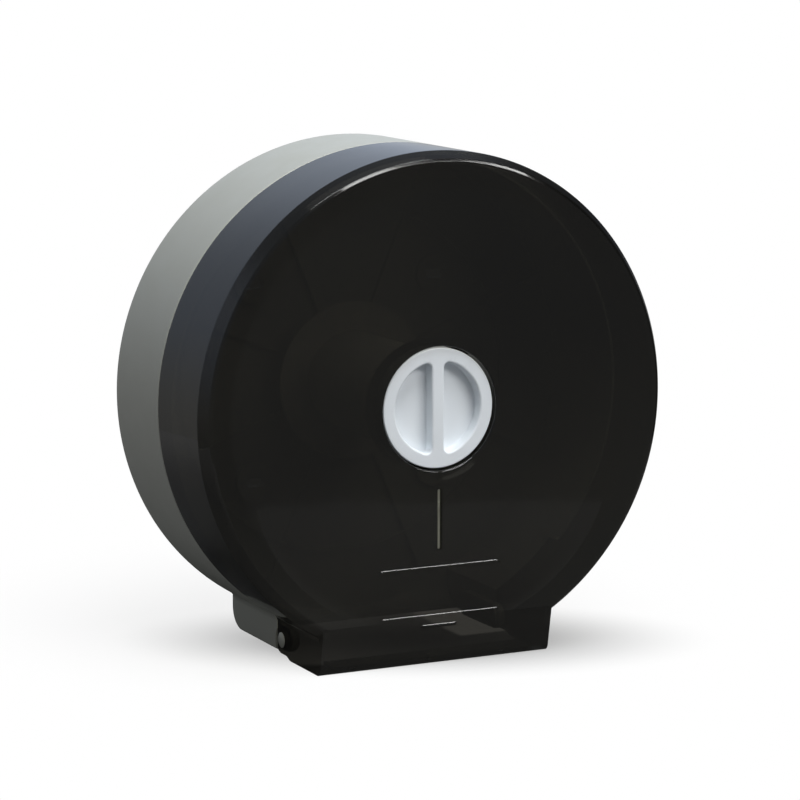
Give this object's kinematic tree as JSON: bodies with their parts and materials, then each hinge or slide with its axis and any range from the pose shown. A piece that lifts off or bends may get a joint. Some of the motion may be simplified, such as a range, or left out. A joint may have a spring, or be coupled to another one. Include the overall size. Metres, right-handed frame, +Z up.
{
  "type": "jumbo toilet roll dispenser",
  "caption": "Round wall-mounted jumbo toilet roll dispenser with a smoked hinged cover, a central lock knob, a spindle hub and a toothed paper outlet in its foot.",
  "frame": {"origin": "on the wall face at the roll's axis, which is also the centre of the four wall slots", "axes": "+X to the right, +Z up, +Y into the wall; the front faces -Y"},
  "size_m": [0.27, 0.1232, 0.273],
  "materials": {
    "shell_grey": "satin grey ABS",
    "cover_smoke": "glossy smoked see-through plastic",
    "knob_white": "semi-gloss white plastic",
    "inner_natural": "natural nylon",
    "steel_bright": "zinc-plated steel"
  },
  "bodies": {
    "case": {"back_shell": "shell_grey", "spindle_post": "inner_natural", "spindle_screws": "steel_bright", "keeper_cap": "inner_natural", "keeper_screws": "steel_bright", "rear_hub_washer": "inner_natural", "front_hub_washer": "inner_natural", "hinge_pin_left": "shell_grey", "hinge_pin_right": "shell_grey"},
    "cover": {"front_cover": "cover_smoke", "friction_washer": "inner_natural", "tear_bar": "steel_bright", "tear_bar_rivets": "steel_bright"},
    "knob": {"lock_knob": "knob_white", "retaining_clip": "steel_bright", "lock_cam": "knob_white", "cam_washer": "steel_bright", "cam_screw": "steel_bright"},
    "hub": {"roll_hub": "inner_natural"}
  },
  "joints": [
    {"name": "cover_hinge", "type": "hinge", "parent": "case", "child": "cover", "pos_m": [0, -0.0674, -0.1289], "axis": [1, 0, 0], "range_deg": [0, 90]},
    {"name": "knob_turn", "type": "hinge", "parent": "cover", "child": "knob", "pos_m": [0, -0.1, 0], "axis": [0, 1, 0], "range_deg": [0, 90]},
    {"name": "hub_spin", "type": "hinge", "parent": "case", "child": "hub", "pos_m": [0, -0.05, 0], "axis": [0, 1, 0], "continuous": true}
  ]
}
